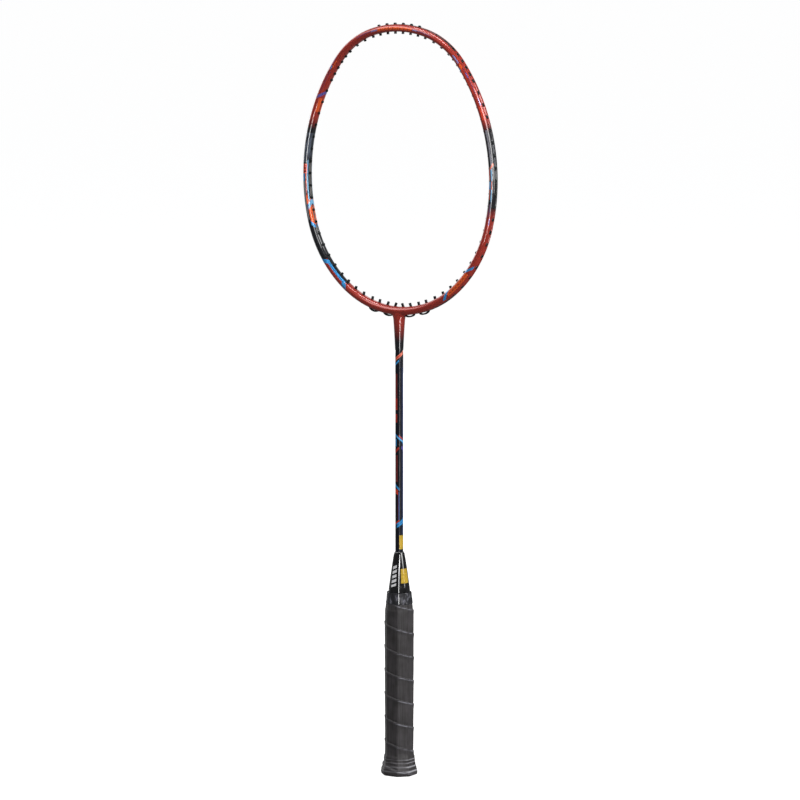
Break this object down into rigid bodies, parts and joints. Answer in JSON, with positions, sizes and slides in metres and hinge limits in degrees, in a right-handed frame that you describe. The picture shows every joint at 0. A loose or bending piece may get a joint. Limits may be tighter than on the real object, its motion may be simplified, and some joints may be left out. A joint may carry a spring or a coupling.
{
  "type": "badminton racket",
  "caption": "Unstrung badminton racket: squarish carbon hoop with grommeted string holes, slim straight shaft, conical cap and flared octagonal wrapped handle.",
  "frame": {"origin": "centre of the butt's flat end face", "axes": "+Z along the shaft from the butt to the head, X across the head in its own plane, Y through the face; the front face looks to -Y"},
  "size_m": [0.2008, 0.029, 0.6752],
  "materials": {
    "red_lacquer": "metallic crimson lacquer over carbon laminate, fading to black along the sides, with orange, blue and violet line decoration",
    "black_lacquer": "gloss blue-black lacquer over carbon laminate, with narrow coloured bands",
    "gloss_black": "glossy injection-moulded plastic",
    "ash_wood": "bare turned and milled wood, hidden under the wrap",
    "black_nylon": "satin moulded nylon",
    "grey_nylon": "plain moulded insert, hidden inside the throat",
    "charcoal_wrap": "dark charcoal polyurethane wrap, wound as a spiral with overlaps",
    "clear_tape": "glossy clear finishing tape over the dark wrap"
  },
  "bodies": {
    "root": {"frame": "red_lacquer", "t_piece": "grey_nylon", "shaft": "black_lacquer", "cone": "gloss_black", "handle_core": "ash_wood", "butt_cap": "black_nylon", "grip": "charcoal_wrap", "finishing_tape": "clear_tape", "top_strip": "black_nylon", "bottom_strip_right": "black_nylon", "bottom_strip_left": "black_nylon", "grommet_right_01": "black_nylon", "grommet_right_02": "black_nylon", "grommet_right_03": "black_nylon", "grommet_right_04": "black_nylon", "grommet_right_05": "black_nylon", "grommet_right_06": "black_nylon", "grommet_right_07": "black_nylon", "grommet_right_08": "black_nylon", "grommet_right_09": "black_nylon", "grommet_right_10": "black_nylon", "grommet_right_11": "black_nylon", "grommet_right_12": "black_nylon", "grommet_right_13": "black_nylon", "grommet_right_14": "black_nylon", "grommet_right_15": "black_nylon", "grommet_right_16": "black_nylon", "grommet_right_17": "black_nylon", "grommet_right_18": "black_nylon", "grommet_right_19": "black_nylon", "grommet_right_20": "black_nylon", "grommet_right_21": "black_nylon", "grommet_right_22": "black_nylon", "grommet_left_01": "black_nylon", "grommet_left_02": "black_nylon", "grommet_left_03": "black_nylon", "grommet_left_04": "black_nylon", "grommet_left_05": "black_nylon", "grommet_left_06": "black_nylon", "grommet_left_07": "black_nylon", "grommet_left_08": "black_nylon", "grommet_left_09": "black_nylon", "grommet_left_10": "black_nylon", "grommet_left_11": "black_nylon", "grommet_left_12": "black_nylon", "grommet_left_13": "black_nylon", "grommet_left_14": "black_nylon", "grommet_left_15": "black_nylon", "grommet_left_16": "black_nylon", "grommet_left_17": "black_nylon", "grommet_left_18": "black_nylon", "grommet_left_19": "black_nylon", "grommet_left_20": "black_nylon", "grommet_left_21": "black_nylon", "grommet_left_22": "black_nylon"}
  },
  "joints": []
}
